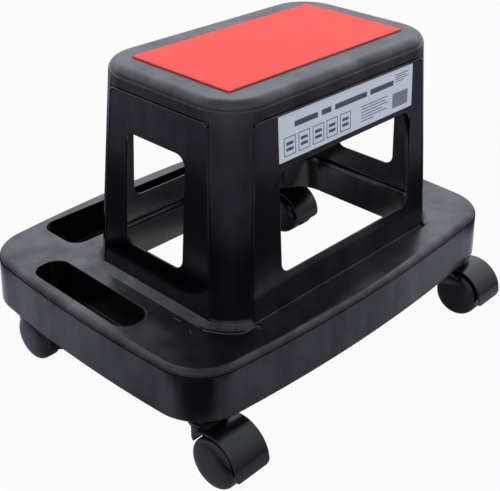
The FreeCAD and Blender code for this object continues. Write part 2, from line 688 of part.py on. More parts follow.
# Casters: housing, stem, grip ring, axle and two wheels at each corner
parts = [shell, mat, label]
for corner, sx, sy in CORNERS:
    at_x = "%d * %s" % (sx, STEM_X)
    at_y = "%d * %s" % (sy, STEM_Y)
    axle_y = "%s - Sizes.trail" % at_y

    # Housing: hood over both wheels, centre web, and the turret round the stem
    hood = new_body("caster_housing_" + corner)
    side = new_sketch(hood, "hood_side_" + corner, "YZ_Plane")
    radius = now("Sizes.hood_radius")
    drop = now("Sizes.hood_lip_drop")
    reach = math.sqrt(radius * radius - drop * drop)
    rear = math.radians(SIZE["hood_rear_angle"])
    start = V(radius * math.cos(rear), radius * math.sin(rear), 0)
    finish = V(-reach, -drop, 0)
    toe = V(now("Sizes.axle_boss_radius") * 0.8, -drop, 0)
    ring = Part.Circle(V(0, 0, 0), V(0, 0, 1), radius)
    arc = side.addGeometry(Part.ArcOfCircle(ring, rear, math.atan2(-drop, -reach) + 2 * math.pi),
                           False)
    lip = side.addGeometry(Part.LineSegment(finish, toe), False)
    back = side.addGeometry(Part.LineSegment(toe, start), False)
    side.addConstraint(Sketcher.Constraint("Coincident", arc, 2, lip, 1))
    side.addConstraint(Sketcher.Constraint("Coincident", lip, 2, back, 1))
    side.addConstraint(Sketcher.Constraint("Coincident", back, 2, arc, 1))
    side.addConstraint(Sketcher.Constraint("Coincident", arc, 3, -1, 1))
    bind(side, Sketcher.Constraint("Radius", arc, radius), "Sizes.hood_radius")
    hold_y(side, lip, 1, "-Sizes.hood_lip_drop")
    hold_y(side, lip, 2, "-Sizes.hood_lip_drop")
    hold_x(side, lip, 2, "0.8 * Sizes.axle_boss_radius")
    hold_x(side, arc, 1, "Sizes.hood_radius * cos(Sizes.hood_rear_angle)")
    pad(hood, "hood_block_" + corner, side, "2 * Sizes.hood_half_wide", both=True)
    turret = new_sketch(hood, "turret_ring_" + corner, "XY_Plane",
                        "Sizes.turret_bottom - Sizes.wheel_radius")
    circle(turret, "0", "Sizes.trail", "Sizes.turret_radius")
    pad(hood, "turret_" + corner, turret, "Sizes.turret_top - Sizes.turret_bottom")
    neck = new_sketch(hood, "neck_ring_" + corner, "XY_Plane",
                      "Sizes.neck_bottom - Sizes.wheel_radius")
    circle(neck, "0", "Sizes.trail", "Sizes.neck_radius")
    pad(hood, "neck_" + corner, neck, "Sizes.turret_top - Sizes.neck_bottom")
    for wing, turn in (("a", -1), ("b", 1)):
        well = new_sketch(hood, "wheel_well_%s_%s" % (wing, corner), "YZ_Plane",
                          "%d * Sizes.web_half" % turn)
        circle(well, "0", "0", "Sizes.hood_radius - Sizes.hood_wall")
        pocket(hood, "wheel_well_cut_%s_%s" % (wing, corner), well,
               "Sizes.hood_half_wide * 2", reverse=(turn > 0))
    lip_edges = []
    for number, edge in enumerate(hood.Tip.Shape.Edges, start=1):
        box = edge.BoundBox
        at_side = abs(abs(box.XMin) - SIZE["hood_half_wide"]) < 0.01 and box.XLength < 0.01
        at_lip = box.YMax < -SIZE["wheel_radius"] and abs(box.ZMax + drop) < 0.01
        if at_side and at_lip and box.ZLength < 0.01:
            lip_edges.append("Edge%d" % number)
    fillet(hood, "lip_corner_round_" + corner, lip_edges, "Sizes.lip_corner")
    hub = new_sketch(hood, "axle_boss_ring_" + corner, "YZ_Plane")
    circle(hub, "0", "0", "Sizes.axle_boss_radius")
    pad(hood, "axle_boss_" + corner, hub, "2 * Sizes.web_half", both=True)
    hole = new_sketch(hood, "axle_hole_ring_" + corner, "YZ_Plane")
    circle(hole, "0", "0", "Sizes.axle_radius + Sizes.seat_gap")
    pocket(hood, "axle_hole_" + corner, hole, "4 * Sizes.web_half", both=True)
    groove = new_sketch(hood, "turret_groove_ring_" + corner, "XY_Plane",
                        "Sizes.turret_groove_low - Sizes.wheel_radius")
    circle(groove, "0", "Sizes.trail", "Sizes.turret_radius + Sizes.turret_groove_deep / 4")
    circle(groove, "0", "Sizes.trail", "Sizes.turret_radius - Sizes.turret_groove_deep")
    pocket(hood, "turret_groove_" + corner, groove,
           "Sizes.turret_groove_high - Sizes.turret_groove_low", reverse=True)
    stem_hole = new_sketch(hood, "stem_hole_ring_" + corner, "XY_Plane",
                           "Sizes.stem_bottom - Sizes.wheel_radius")
    circle(stem_hole, "0", "Sizes.trail", "Sizes.stem_radius + Sizes.seat_gap")
    pocket(hood, "stem_hole_" + corner, stem_hole,
           "Sizes.turret_top - Sizes.stem_bottom + 1", reverse=True)
    place(hood, at_x, axle_y, "Sizes.wheel_radius")
    parts.append(hood)

    # Stem: turned steel pin with a neck for the grip ring
    stem = new_body("caster_stem_" + corner)
    turned = new_sketch(stem, "stem_profile_" + corner, "XZ_Plane")
    top = "Sizes.boss_bottom + Sizes.socket_depth - Sizes.stem_top_gap"
    neck = "Sizes.stem_radius - Sizes.ring_deep"
    polygon(turned, [
        ("0", "Sizes.stem_bottom"),
        ("Sizes.stem_radius", "Sizes.stem_bottom"),
        ("Sizes.stem_radius", "Sizes.ring_low"),
        (neck, "Sizes.ring_low"),
        (neck, "Sizes.ring_high"),
        ("Sizes.stem_radius", "Sizes.ring_high"),
        ("Sizes.stem_radius", "%s - Sizes.ring_deep" % top),
        (neck, top),
        ("0", top),
    ])
    spin = stem.newObject("PartDesign::Revolution", "stem_turned_" + corner)
    spin.Profile = turned
    spin.ReferenceAxis = (turned, ["V_Axis"])
    spin.Angle = 360
    doc.recompute()
    place(stem, at_x, at_y, "0")
    parts.append(stem)

    # Grip ring: split spring band that holds the stem in its socket
    ring_body = new_body("stem_grip_ring_" + corner)
    band = new_sketch(ring_body, "ring_outline_" + corner, "XY_Plane",
                      "Sizes.ring_low + Sizes.seat_gap * 5")
    circle(band, "0", "0", "Sizes.stem_radius + Sizes.running_gap - Sizes.seat_gap")
    circle(band, "0", "0", "Sizes.stem_radius - Sizes.ring_deep + Sizes.running_gap")
    pad(ring_body, "ring_band_" + corner, band,
        "Sizes.ring_high - Sizes.ring_low - Sizes.seat_gap * 10")
    split = new_sketch(ring_body, "ring_split_" + corner, "XZ_Plane")
    polygon(split, [
        ("-Sizes.ring_deep", "Sizes.ring_low - 1"),
        ("Sizes.ring_deep", "Sizes.ring_low - 1"),
        ("Sizes.ring_deep", "Sizes.ring_high + 1"),
        ("-Sizes.ring_deep", "Sizes.ring_high + 1"),
    ])
    pocket(ring_body, "ring_split_cut_" + corner, split, "Sizes.stem_radius * 2")
    place(ring_body, at_x, at_y, "0")
    parts.append(ring_body)

    # Axle: plain steel pin pressed through the web
    axle = doc.addObject("Part::Cylinder", "caster_axle_" + corner)
    axle.Label = "caster_axle_" + corner
    axle.setExpression("Radius", "Sizes.axle_radius")
    axle.setExpression("Height", "2 * Sizes.axle_half")
    axle.Placement = FreeCAD.Placement(V(0, 0, 0), FreeCAD.Rotation(V(0, 1, 0), 90))
    place(axle, "%s - Sizes.axle_half" % at_x, axle_y, "Sizes.wheel_radius")
    parts.append(axle)

    # Wheels: moulded, domed outside, ribless hollow on the inner side
    for wing, turn in (("a", -1), ("b", 1)):
        wheel = new_body("wheel_%s_%s" % (wing, corner))
        turned = new_sketch(wheel, "wheel_profile_%s_%s" % (wing, corner), "XY_Plane")
        inner = "Sizes.web_half + Sizes.wheel_side_gap"
        outer = "%s + Sizes.wheel_tread" % inner
        crown_x = "%s + Sizes.wheel_dome" % outer
        hollow = "%s + Sizes.wheel_hollow" % inner
        hub_in = "Sizes.axle_radius + Sizes.running_gap"
        rim_in = "Sizes.wheel_radius - Sizes.wheel_rim_wall"
        blind = "Sizes.axle_half + Sizes.wheel_side_gap"
        corners = [
            (inner, hub_in),
            (inner, "Sizes.wheel_hub_radius"),
            (hollow, "Sizes.wheel_hub_radius"),
            (hollow, rim_in),
            (inner, rim_in),
            (inner, "Sizes.wheel_radius - 1"),
            ("%s + 1" % inner, "Sizes.wheel_radius"),
            ("%s - Sizes.wheel_shoulder / 2" % outer, "Sizes.wheel_radius"),
            ("%s + Sizes.wheel_shoulder * 0.1" % outer,
             "Sizes.wheel_radius - Sizes.wheel_shoulder * 0.35"),
            ("%s + Sizes.wheel_shoulder * 0.4" % outer,
             "Sizes.wheel_radius - Sizes.wheel_shoulder"),
            ("%s + Sizes.wheel_dome * 0.62" % outer, "Sizes.wheel_radius * 0.55"),
            ("%s + Sizes.wheel_dome * 0.9" % outer, "Sizes.wheel_radius * 0.28"),
            (crown_x, "0"),
            (blind, "0"),
            (blind, hub_in),
        ]
        if turn < 0:
            corners = [("-(%s)" % x, y) for x, y in corners]
        polygon(turned, corners)
        spin = wheel.newObject("PartDesign::Revolution", "wheel_turned_%s_%s" % (wing, corner))
        spin.Profile = turned
        spin.ReferenceAxis = (turned, ["H_Axis"])
        spin.Angle = 360
        doc.recompute()
        place(wheel, at_x, axle_y, "Sizes.wheel_radius")
        parts.append(wheel)

doc.recompute()
for obj in doc.Objects:
    if "Invalid" in obj.State or "Error" in obj.State:
        raise RuntimeError("%s is not valid: %s" % (obj.Name, obj.State))
for obj in parts:
    if obj.Shape.isNull() or not obj.Shape.isValid():
        raise RuntimeError("%s has no valid shape" % obj.Label)
    if len(obj.Shape.Solids) < 1:
        raise RuntimeError("%s has no solid" % obj.Label)
for obj in parts:
    obj.Shape.exportStep("parts/%s.step" % obj.Label)
    print(obj.Label, len(obj.Shape.Solids), round(obj.Shape.Volume, 1))
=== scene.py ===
import math

import bmesh
import bpy
from mathutils import Matrix, Vector


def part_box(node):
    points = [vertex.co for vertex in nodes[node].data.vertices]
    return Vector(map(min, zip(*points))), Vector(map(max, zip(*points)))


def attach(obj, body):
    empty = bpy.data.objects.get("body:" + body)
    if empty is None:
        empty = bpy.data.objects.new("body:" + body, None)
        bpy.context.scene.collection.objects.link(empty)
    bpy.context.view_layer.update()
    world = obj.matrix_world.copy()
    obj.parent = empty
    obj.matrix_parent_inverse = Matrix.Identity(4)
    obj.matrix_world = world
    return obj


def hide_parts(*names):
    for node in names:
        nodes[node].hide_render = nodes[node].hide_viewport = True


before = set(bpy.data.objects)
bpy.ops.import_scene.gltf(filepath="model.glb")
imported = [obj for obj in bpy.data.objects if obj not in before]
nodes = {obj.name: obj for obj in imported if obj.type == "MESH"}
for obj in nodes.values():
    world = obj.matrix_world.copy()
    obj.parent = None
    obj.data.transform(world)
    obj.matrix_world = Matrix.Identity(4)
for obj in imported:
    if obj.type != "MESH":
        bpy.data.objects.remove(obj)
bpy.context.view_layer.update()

# Body moulding: deck, skirt, trays, stool and seat in one piece of black polypropylene.
# It is injection moulded with side slides for the windows, so the faces are satin and a
# little uneven from shrinkage, and every edge has the small round of the tool.
tool_round = 0.0006
edge_steps = 2
flat_angle, sharp_angle = math.radians(0.4), math.radians(40)
join_gap = 2e-6
stool_y = -0.02095
seat_level = 0.320
seat_half_long, seat_half_wide = 0.1435, 0.089
wall_lean = 0.067
corner_round = 0.044
panel_sink = 0.0025
panel_reach = math.sqrt(panel_sink * (2 * corner_round - panel_sink))
panel_faces = (("near_long", "y", -1), ("far_long", "y", 1), ("left_short", "x", -1),
               ("right_short", "x", 1))
nearly_upright = 0.99
groove_size = 0.0013
groove_sides = 12
groove_low, groove_high = 0.1235, 0.2995
body_dark, body_light = (0.0011, 0.0009, 0.0015), (0.0022, 0.0019, 0.0029)
body_grain = 1400.0
wall_gloss, level_gloss = (0.12, 0.20), (0.27, 0.36)
level_slope = (0.45, 0.95)
blotch_sheen, streak_sheen = (0.30, 1.75), (0.05, 0.97)
sink_pull, streak_pull = (1.0, 1.0, 0.04), (1.0, 1.0, 0.15)


def new_material(name):
    """Node material with its principled shader, its links and a helper that adds nodes."""
    material = bpy.data.materials.new(name)
    material.use_nodes = True
    tree = material.node_tree
    shader = tree.nodes["Principled BSDF"]

    def add(kind, **values):
        node = tree.nodes.new(kind)
        for key, value in values.items():
            if key in node.inputs:
                node.inputs[key].default_value = value
            else:
                setattr(node, key, value)
        return node

    return material, tree.links, shader, add


def spread(add, links, source, low, high):
    """Maps a 0 to 1 texture value onto a range."""
    node = add("ShaderNodeMapRange")
    node.inputs["To Min"].default_value = low
    node.inputs["To Max"].default_value = high
    links.new(source, node.inputs["Value"])
    return node.outputs["Result"]


def blended(add, links, share, first, second):
    """Colour between two colours by a share from a texture."""
    node = add("ShaderNodeMix", data_type="RGBA")
    node.inputs[6].default_value = (*first, 1.0)
    node.inputs[7].default_value = (*second, 1.0)
    links.new(share, node.inputs["Factor"])
    return node.outputs[2]


def clouds(add, links, place, scale, detail=3.0, rough=0.5, stretch=None):
    """Noise over the piece, stretched along an axis where that is given."""
    if stretch is not None:
        pull = add("ShaderNodeMapping")
        pull.inputs["Scale"].default_value = stretch
        links.new(place, pull.inputs["Vector"])
        place = pull.outputs["Vector"]
    node = add("ShaderNodeTexNoise", Scale=scale, Detail=detail, Roughness=rough)
    links.new(place, node.inputs["Vector"])
    return node.outputs["Fac"]


def raised(add, links, height, strength, depth, under=None):
    """Bump from a height, laid over an earlier bump where there is one."""
    node = add("ShaderNodeBump", Strength=strength, Distance=depth)
    links.new(height, node.inputs["Height"])
    if under is not None:
        links.new(under, node.inputs["Normal"])
    return node.outputs["Normal"]


def strand(work, path, sizes, sides=8):
    """Adds a closed round strand along a path of points, its radius given at each point."""
    rings = []
    for index, point in enumerate(path):
        ahead = path[min(index + 1, len(path) - 1)]
        behind = path[max(index - 1, 0)]
        along = (Vector(ahead) - Vector(behind)).normalized()
        first = along.cross(Vector((0, 0, 1)))
        if abs(along.z) > nearly_upright:
            first = along.orthogonal()
        first.normalize()
        second = along.cross(first)
        ring = []
        for side in range(sides):
            turn = 2 * math.pi * side / sides
            out = first * math.cos(turn) + second * math.sin(turn)
            ring.append(work.verts.new(Vector(point) + out * sizes[index]))
        rings.append(ring)
    for one, two in zip(rings, rings[1:]):
        for side in range(sides):
            after = (side + 1) % sides
            work.faces.new((one[side], one[after], two[after], two[side]))
    work.faces.new(list(reversed(rings[0])))
    work.faces.new(rings[-1])


def as_piece(work, name, material):
    """The worked mesh as an object of the scene, with its faces turned outwards."""
    bmesh.ops.recalc_face_normals(work, faces=work.faces)
    for face in work.faces:
        face.smooth = True
    mesh = bpy.data.meshes.new(name)
    work.to_mesh(mesh)
    work.free()
    mesh.materials.append(material)
    piece = bpy.data.objects.new(name, mesh)
    bpy.context.scene.collection.objects.link(piece)
    return piece


def joined_mesh(node_name, piece_name, material):
    """The node's shape as a mesh of its own, its faces joined along their edges."""
    mesh = nodes[node_name].data.copy()
    mesh.name = piece_name
    for name in ("custom_normal", "sharp_edge"):
        if name in mesh.attributes:
            mesh.attributes.remove(mesh.attributes[name])
    work = bmesh.new()
    work.from_mesh(mesh)
    bmesh.ops.remove_doubles(work, verts=work.verts, dist=join_gap)
    work.to_mesh(mesh)
    work.free()
    mesh.materials.clear()
    mesh.materials.append(material)
    return mesh


def grooved(mesh, tool):
    """The mesh with a tool taken out of it; the cut faces keep the tool's material."""
    blank = bpy.data.objects.new(mesh.name + "_blank", mesh)
    bpy.context.scene.collection.objects.link(blank)
    cut = blank.modifiers.new("cut", "BOOLEAN")
    cut.operation = "DIFFERENCE"
    cut.solver = "EXACT"
    cut.material_mode = "TRANSFER"
    cut.object = tool
    depsgraph = bpy.context.evaluated_depsgraph_get()
    result = bpy.data.meshes.new_from_object(blank.evaluated_get(depsgraph))
    bpy.data.objects.remove(blank)
    bpy.data.objects.remove(tool)
    return result


def eased(mesh, piece_name, ease):
    """A piece from the mesh, with every sharp edge rounded but those of cut grooves."""
    work = bmesh.new()
    work.from_mesh(mesh)
    bmesh.ops.dissolve_limit(work, angle_limit=flat_angle, verts=work.verts,
                             edges=work.edges, delimit={"MATERIAL"})
    sharp = []
    for edge in work.edges:
        plain = all(face.material_index == 0 for face in edge.link_faces)
        if plain and len(edge.link_faces) == 2 and edge.calc_face_angle(0.0) > sharp_angle:
            sharp.append(edge)
    bmesh.ops.bevel(work, geom=sharp, offset=ease, offset_type="OFFSET", segments=edge_steps,
                    profile=0.5, affect="EDGES", clamp_overlap=False)
    for face in work.faces:
        face.smooth = True
        face.material_index = 0
    work.to_mesh(mesh)
    work.free()
    while len(mesh.materials) > 1:
        mesh.materials.pop(index=-1)
    mesh.name = piece_name
    piece = bpy.data.objects.new(piece_name, mesh)
    bpy.context.scene.collection.objects.link(piece)
    flat = piece.modifiers.new("flat_faces", "WEIGHTED_NORMAL")
    flat.keep_sharp = False
    flat.weight = 100
    return piece


def moulded_black(name, dark, light, grain):
    """Black moulding with clouded colour; gives the bump of grain and sinks, and gloss patches."""
    material, links, shader, add = new_material(name)
    place = add("ShaderNodeTexCoord").outputs["Object"]
    tone = clouds(add, links, place, scale=9.0)
    links.new(blended(add, links, tone, dark, light), shader.inputs["Base Color"])
    patch = clouds(add, links, place, scale=22.0, detail=4.0, rough=0.6)
    fine = clouds(add, links, place, scale=grain, detail=2.0)
    normal = raised(add, links, fine, strength=0.05, depth=0.0002)
    sink = clouds(add, links, place, scale=14.0, detail=1.0, rough=0.4)
    normal = raised(add, links, sink, strength=0.34, depth=0.0012, under=normal)
    return material, links, shader, add, normal, patch


body_black, links, shader, add, normal, patch = moulded_black(
    "body_plastic_satin", body_dark, body_light, body_grain)
mapped = add("ShaderNodeTexCoord")
place = mapped.outputs["Object"]
upright_sink = clouds(add, links, place, scale=30.0, detail=1.0, rough=0.3, stretch=sink_pull)
normal = raised(add, links, upright_sink, strength=0.45, depth=0.0008, under=normal)
flow = clouds(add, links, place, scale=46.0, detail=2.0)
normal = raised(add, links, flow, strength=0.16, depth=0.0005, under=normal)
links.new(normal, shader.inputs["Normal"])
blotch = clouds(add, links, place, scale=24.0, detail=4.0, rough=0.6)
streak = clouds(add, links, place, scale=34.0, rough=0.6, stretch=streak_pull)
sheen = add("ShaderNodeMath", operation="MULTIPLY")
links.new(spread(add, links, blotch, *blotch_sheen), sheen.inputs[0])
links.new(spread(add, links, streak, *streak_sheen), sheen.inputs[1])
links.new(sheen.outputs["Value"], shader.inputs["Specular IOR Level"])
facing = add("ShaderNodeSeparateXYZ")
links.new(mapped.outputs["Normal"], facing.inputs["Vector"])
level_face = add("ShaderNodeMapRange")
level_face.inputs["From Min"].default_value = level_slope[0]
level_face.inputs["From Max"].default_value = level_slope[1]
links.new(facing.outputs["Z"], level_face.inputs["Value"])
gloss = add("ShaderNodeMix", data_type="FLOAT")
links.new(level_face.outputs["Result"], gloss.inputs["Factor"])
links.new(spread(add, links, patch, *wall_gloss), gloss.inputs[2])
links.new(spread(add, links, patch, *level_gloss), gloss.inputs[3])
links.new(gloss.outputs[0], shader.inputs["Roughness"])


def panel_end(axis, height):
    """Where a sunk panel runs out on the round corner, as (along the face, out of the middle)."""
    widen = wall_lean * (seat_level - height)
    along, out = seat_half_long, seat_half_wide
    if axis == "x":
        along, out = out, along
    return along + widen - corner_round + panel_reach, out + widen - panel_sink


def on_face(axis, sign, along, out, height):
    """Point of a stool face in the frame of the object."""
    if axis == "y":
        return (along, stool_y + sign * out, height)
    return (sign * out, stool_y + along, height)


work = bmesh.new()
for _, axis, sign in panel_faces:
    for end in (-1, 1):
        line = []
        for height in (groove_low, groove_high):
            along, out = panel_end(axis, height)
            line.append(on_face(axis, sign, end * along, out, height))
        strand(work, line, [groove_size] * 2, sides=groove_sides)
groove_tool = as_piece(work, "panel_groove_tool", bpy.data.materials.new("groove_face"))
body_mesh = grooved(joined_mesh("body_moulding", "seat_body", body_black), groove_tool)
body = eased(body_mesh, "seat_body", tool_round)
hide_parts("body_moulding")
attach(body, "body")

# Panel lips: a fine bead along the top of each sunk panel, left where the side slide of
# the tool shuts against the rim. It turns down at both ends and is part of the moulding.
panel_top = 0.3025
bead_size = 0.0011
bead_drop = 0.0026
bead_level = panel_top - bead_drop
bead_set_in = 0.0015
bead_out = 0.0006
bead_steps = 12
hook = 0.0032
hook_steps = 5
hook_swell = (1.35, 1.3, 1.2, 1.1, 1.0, 1.0)


def lip_path(half):
    """Points along a panel's top as (run, height), hooked down at both ends."""
    end = half - bead_set_in
    left = []
    for step in range(hook_steps + 1):
        turn = math.pi / 2 * step / hook_steps
        left.append((-end + hook * (1 - math.cos(turn)), bead_level - hook * (1 - math.sin(turn))))
    straight = 2 * (end - hook)
    middle = [(-end + hook + straight * k / bead_steps, bead_level) for k in range(1, bead_steps)]
    right = [(-run, height) for run, height in reversed(left)]
    return left + middle + right


for name, axis, sign in panel_faces:
    half, _ = panel_end(axis, bead_level)
    path = []
    for run, height in lip_path(half):
        _, out = panel_end(axis, height)
        rise = bead_out if abs(run) < half - hook else 0.0
        path.append(on_face(axis, sign, run, out + rise, height))
    swell = list(hook_swell) + [1.0] * (bead_steps - 1) + list(reversed(hook_swell))
    work = bmesh.new()
    strand(work, path, [bead_size * k for k in swell])
    lip = as_piece(work, "panel_lip_" + name, body_black)
    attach(lip, "body")

# Moulding flash: a thin raised line on the deck round the foot of the near corner column,
# where the side slides meet, with two loose curls by it. It is part of the moulding.
deck_level = 0.1175
flash_size = 0.00042
flash_sides = 6
flash_round = 0.0529
flash_steps = 10
flash_start, flash_stop = math.radians(17), math.radians(57)
flash_tail = ((0.0220, 0.0447), (0.0160, 0.0447), (0.0138, 0.0455), (0.0124, 0.0474),
              (0.0133, 0.0490), (0.0152, 0.0478))
flash_swell = (1.0, 0.9, 1.2, 1.3, 1.1, 0.6)
curl_lift = 0.0001
flash_curls = (("a", ((-0.1699, -0.0640), (-0.1690, -0.0662), (-0.1686, -0.0692),
                      (-0.1691, -0.0725))),
               ("b", ((-0.1718, -0.0869), (-0.1727, -0.0892), (-0.1745, -0.0916))))
# Flash greys: a painted highlight, far lighter than the black plastic the flash is made of.
flash_highlight_dark, flash_highlight_light = (0.035, 0.036, 0.042), (0.09, 0.092, 0.10)


def uneven(name, dark, light, grain, dull, dull_grain, detail=4.0, rough=0.6):
    """Material whose colour and gloss vary over the piece, each with its own grain."""
    material, links, shader, add = new_material(name)
    place = add("ShaderNodeTexCoord").outputs["Object"]
    tone = clouds(add, links, place, grain, detail, rough)
    links.new(blended(add, links, tone, dark, light), shader.inputs["Base Color"])
    patch = clouds(add, links, place, dull_grain)
    links.new(spread(add, links, patch, *dull), shader.inputs["Roughness"])
    return material, links, shader, add, place


def flash_piece(name, path, sizes):
    """A thin strand of flash that is part of the body, in the grey of the painted highlight."""
    work = bmesh.new()
    strand(work, path, sizes, sides=flash_sides)
    flash = as_piece(work, name, flash_painted_highlight)
    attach(flash, "body")


# The flash is black plastic like the body; its grey here is a painted highlight along the thin
# strands.
flash_painted_highlight = uneven("painted_highlight_on_flash", flash_highlight_dark, flash_highlight_light, grain=500.0,
                    dull=(0.3, 0.5), dull_grain=700.0, detail=3.0, rough=0.5)[0]
column_x, _ = panel_end("y", deck_level)
column_y, _ = panel_end("x", deck_level)
plan = []
for step in range(flash_steps + 1):
    turn = flash_start + (flash_stop - flash_start) * step / flash_steps
    plan.append((flash_round * math.cos(turn), flash_round * math.sin(turn)))
path = []
for run, out in plan + list(flash_tail):
    path.append((panel_reach - column_x - run, stool_y + panel_reach - column_y - out, deck_level))
flash_piece("deck_flash_line", path,
            [flash_size] * len(plan) + [flash_size * k for k in flash_swell])
for name, plan in flash_curls:
    path = [(x, y, deck_level + curl_lift) for x, y in plan]
    flash_piece("deck_flash_curl_" + name, path, [flash_size] * len(plan))

# Seat mat: thin red foam sheet, die cut square and stuck flat on the seat.
# Its face has a fine pebble and lies a little uneven on the adhesive.
mat_long, mat_wide, mat_thick = 0.2335, 0.1205, 0.0014
mat_round = 0.0004
mat_rim = (0.0, 0.06, 0.16, 0.32, 0.6, 1.0)
mat_columns, mat_rows = 48, 26
mat_edge_angle = math.radians(60)
face_slack = 0.00008
wave_high, wave_fade = 0.00005, 0.012
long_wave, wide_wave = (61, 1.3), (83, 0.4)
slant_wave, slant_share = (133, 71), 0.6
mat_dark, mat_light = (0.95, 0.066, 0.044), (0.98, 0.084, 0.058)
mat_sheen = 0.22


def edge_lines(size, inner):
    """Grid lines across the mat, close together at the rounded rim."""
    low = [-size / 2 + mat_round * k for k in mat_rim]
    span = size - 2 * mat_round
    return (low[:-1] + [-span / 2 + span * k / inner for k in range(inner + 1)]
            + [-value for value in reversed(low[:-1])])


def rim_drop(to_edge):
    """How far the face falls away near the cut edge."""
    if to_edge >= mat_round:
        return 0.0
    return mat_round - math.sqrt(max(mat_round ** 2 - (mat_round - to_edge) ** 2, 0.0))


def mat_wave(x, y):
    """Slow rise and fall of the face over the adhesive."""
    crossed = (math.sin(x * long_wave[0] + long_wave[1])
               * math.sin(y * wide_wave[0] + wide_wave[1]))
    return wave_high * (crossed + slant_share * math.sin(x * slant_wave[0] + y * slant_wave[1]))


columns = edge_lines(mat_long, mat_columns)
rows = edge_lines(mat_wide, mat_rows)
work = bmesh.new()
top = []
for y in rows:
    line = []
    for x in columns:
        edge = min(mat_long / 2 - abs(x), mat_wide / 2 - abs(y))
        wave = mat_wave(x, y) * min(edge / wave_fade, 1.0)
        lift = mat_thick - face_slack - rim_drop(edge) + wave
        line.append(work.verts.new((x, stool_y + y, seat_level + min(lift, mat_thick))))
    top.append(line)
for below, above in zip(top, top[1:]):
    for i in range(len(columns) - 1):
        work.faces.new((below[i], below[i + 1], above[i + 1], above[i]))
rim = (top[0] + [line[-1] for line in top[1:]] + list(reversed(top[-1][:-1]))
       + [line[0] for line in reversed(top[1:-1])])
foot = [work.verts.new((v.co.x, v.co.y, seat_level)) for v in rim]
for i in range(len(rim)):
    after = (i + 1) % len(rim)
    work.faces.new((rim[i], foot[i], foot[after], rim[after]))
work.faces.new(foot)
mat_red, links, shader, add, place = uneven("mat_foam_red", mat_dark, mat_light, grain=26.0,
                                            dull=(0.55, 0.7), dull_grain=60.0)
pebble = clouds(add, links, place, scale=1500.0, detail=2.0)
links.new(raised(add, links, pebble, strength=0.18, depth=0.0002), shader.inputs["Normal"])
shader.inputs["Specular IOR Level"].default_value = mat_sheen
mat = as_piece(work, "seat_mat_sheet", mat_red)
mat.data.set_sharp_from_angle(angle=mat_edge_angle)
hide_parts("seat_mat")
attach(mat, "body")

# Side label: silver film stuck in the sunk panel above the near long window.
# Only plain frames and rules are printed on it, in dark and grey ink.
# The print is laid out in millimetres as left, right, low and high on the film.
film_dark, film_light = (0.77, 0.81, 0.84), (0.82, 0.86, 0.89)
ink_dark, ink_dark_worn = (0.06, 0.065, 0.075), (0.10, 0.105, 0.115)
ink_grey, ink_grey_worn = (0.20, 0.215, 0.23), (0.26, 0.275, 0.29)
ink_proud, ink_sunk = 0.00004, 0.00002
film_lift = 0.00002
mm_per_metre = 1000
heading_bars = ((20, 50, 27.5, 32.5), (55, 68, 27.5, 32.5), (73, 118, 27.5, 32.5),
                (123, 158, 27.5, 32.5))
small_rules = ((161, 181, 36.0, 36.8), (161, 178, 33.8, 34.6), (161, 182, 31.6, 32.4),
               (161, 174, 29.4, 30.2), (110, 149, 19.2, 20.0), (110, 146, 16.4, 17.2),
               (110, 150, 13.6, 14.4), (110, 141, 10.8, 11.6), (110, 148, 8.0, 8.8),
               (110, 128, 5.2, 6.0))
frame_count = 5
frame_left, frame_low, frame_step = 6.0, 4.0, 18.5
frame_long, frame_high, frame_line = 15.0, 17.0, 0.8
fill_inset = 3
fill_rows = ((13.6, 16.4), (8.4, 11.2))
tone_block = ((157, 181, 5.0, 19.0),)
label_silver = uneven("label_film_silver", film_dark, film_light, grain=40.0,
                      dull=(0.4, 0.5), dull_grain=90.0)[0]
nodes["side_label"].data.materials[0] = label_silver
label_low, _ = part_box("side_label")
label_lean = math.atan(wall_lean)
label_up = Vector((0.0, math.sin(label_lean), math.cos(label_lean)))
label_out = Vector((0.0, -math.cos(label_lean), math.sin(label_lean)))
label_corner = Vector((label_low[0], label_low[1], label_low[2] + film_lift))


def printed(name, bars, dark, worn, ink_name):
    """Closed slabs of screen-printed ink on the label, a little uneven in tone and gloss."""
    work = bmesh.new()
    for left, right, low, high in bars:
        sheet = []
        for out in (-ink_sunk, ink_proud):
            for along, rise in ((left, low), (right, low), (right, high), (left, high)):
                across = Vector((along / mm_per_metre, 0.0, 0.0))
                spot = label_corner + across + label_up * (rise / mm_per_metre) + label_out * out
                sheet.append(work.verts.new(spot))
        work.faces.new(sheet[4:])
        work.faces.new(sheet[3::-1])
        for k in range(4):
            after = (k + 1) % 4
            work.faces.new((sheet[k], sheet[after], sheet[4 + after], sheet[4 + k]))
    ink = uneven(ink_name, dark, worn, grain=220.0, dull=(0.4, 0.55), dull_grain=400.0)[0]
    piece = as_piece(work, name, ink)
    for face in piece.data.polygons:
        face.use_smooth = False
    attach(piece, "body")


print_bars = list(heading_bars) + list(small_rules)
for box in range(frame_count):
    left = frame_left + frame_step * box
    right, high = left + frame_long, frame_low + frame_high
    print_bars += [(left, right, frame_low, frame_low + frame_line),
                   (left, right, high - frame_line, high),
                   (left, left + frame_line, frame_low + frame_line, high - frame_line),
                   (right - frame_line, right, frame_low + frame_line, high - frame_line)]
    print_bars += [(left + fill_inset, right - fill_inset, *row) for row in fill_rows]
printed("side_label_print", print_bars, ink_dark, ink_dark_worn, "label_ink_dark")
printed("side_label_tone", tone_block, ink_grey, ink_grey_worn, "label_ink_grey")

